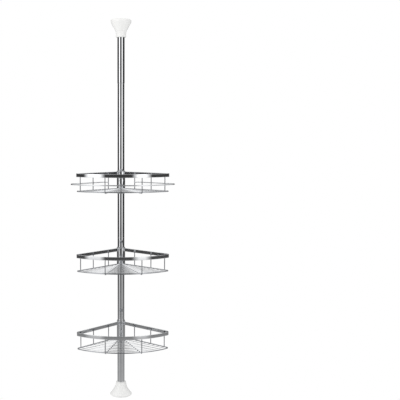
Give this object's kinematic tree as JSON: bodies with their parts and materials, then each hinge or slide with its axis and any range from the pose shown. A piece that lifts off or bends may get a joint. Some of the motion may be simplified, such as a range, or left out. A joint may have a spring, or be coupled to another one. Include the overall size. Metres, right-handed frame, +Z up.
{
  "type": "shower caddy",
  "caption": "Corner shower caddy: quarter-round wire baskets that slide and turn on a spring tension pole with flared end cups.",
  "frame": {"origin": "centre of the foot pad's underside, on the pole's axis", "axes": "+Z up along the pole; the baskets' rounded fronts face -Y and their straight sides run at 45 degrees to X and Y; the part is mirrored about X = 0"},
  "size_m": [0.3596, 0.2945, 1.381],
  "materials": {
    "pole_chrome": "polished chrome plate",
    "basket_chrome": "polished chrome plate on wire",
    "band_chrome": "polished chrome plate on flat strip",
    "cup": "white, slightly translucent moulding",
    "pad": "white soft pad, matt",
    "collar": "grey moulded nylon",
    "plug": "white moulded nylon",
    "spring": "zinc plated spring wire"
  },
  "bodies": {
    "pole": {"foot_pad": "pad", "foot_cup": "cup", "lower_tube": "pole_chrome", "tube_stop": "plug", "middle_tube": "pole_chrome", "lower_coupler": "plug", "upper_tube": "pole_chrome", "upper_coupler": "plug", "inner_tube": "pole_chrome", "spring_seat": "plug", "tension_spring": "spring"},
    "top_section": {"spring_cap": "plug", "top_tube": "pole_chrome", "ceiling_cup": "cup", "ceiling_pad": "pad"},
    "bottom_collar": {"bottom_collar_left": "collar", "bottom_collar_right": "collar"},
    "bottom_basket": {"bottom_sleeve": "basket_chrome", "bottom_rim_band": "band_chrome", "bottom_floor_frame": "basket_chrome", "bottom_floor_wires": "basket_chrome", "bottom_wall_posts": "basket_chrome", "bottom_support_wires": "basket_chrome"},
    "middle_collar": {"middle_collar_left": "collar", "middle_collar_right": "collar"},
    "middle_basket": {"middle_sleeve": "basket_chrome", "middle_rim_band": "band_chrome", "middle_floor_frame": "basket_chrome", "middle_floor_wires": "basket_chrome", "middle_wall_posts": "basket_chrome", "middle_support_wires": "basket_chrome"},
    "top_collar": {"top_collar_left": "collar", "top_collar_right": "collar"},
    "top_basket": {"top_sleeve": "basket_chrome", "top_rim_band": "band_chrome", "top_floor_frame": "basket_chrome", "top_floor_wires": "basket_chrome", "top_wall_posts": "basket_chrome", "top_support_wires": "basket_chrome", "top_outer_rail": "basket_chrome", "top_rail_stubs": "basket_chrome"}
  },
  "joints": [
    {"name": "pole_extension", "type": "slide", "parent": "pole", "child": "top_section", "axis": [0, 0, 1], "range_m": [-0.045, 0], "stiffness_N_per_m": 2500, "springref_m": 0.01, "deforming": ["tension_spring"]},
    {"name": "bottom_height", "type": "slide", "parent": "pole", "child": "bottom_collar", "axis": [0, 0, 1], "range_m": [-0.13, 0.004]},
    {"name": "bottom_swivel", "type": "hinge", "parent": "bottom_collar", "child": "bottom_basket", "pos_m": [0, 0, 0.2204], "axis": [0, 0, 1], "continuous": true},
    {"name": "middle_height", "type": "slide", "parent": "pole", "child": "middle_collar", "axis": [0, 0, 1], "range_m": [-0.1, 0.1]},
    {"name": "middle_swivel", "type": "hinge", "parent": "middle_collar", "child": "middle_basket", "pos_m": [0, 0, 0.4944], "axis": [0, 0, 1], "continuous": true},
    {"name": "top_height", "type": "slide", "parent": "pole", "child": "top_collar", "axis": [0, 0, 1], "range_m": [-0.1, 0.2]},
    {"name": "top_swivel", "type": "hinge", "parent": "top_collar", "child": "top_basket", "pos_m": [0, 0, 0.7724], "axis": [0, 0, 1], "continuous": true}
  ]
}
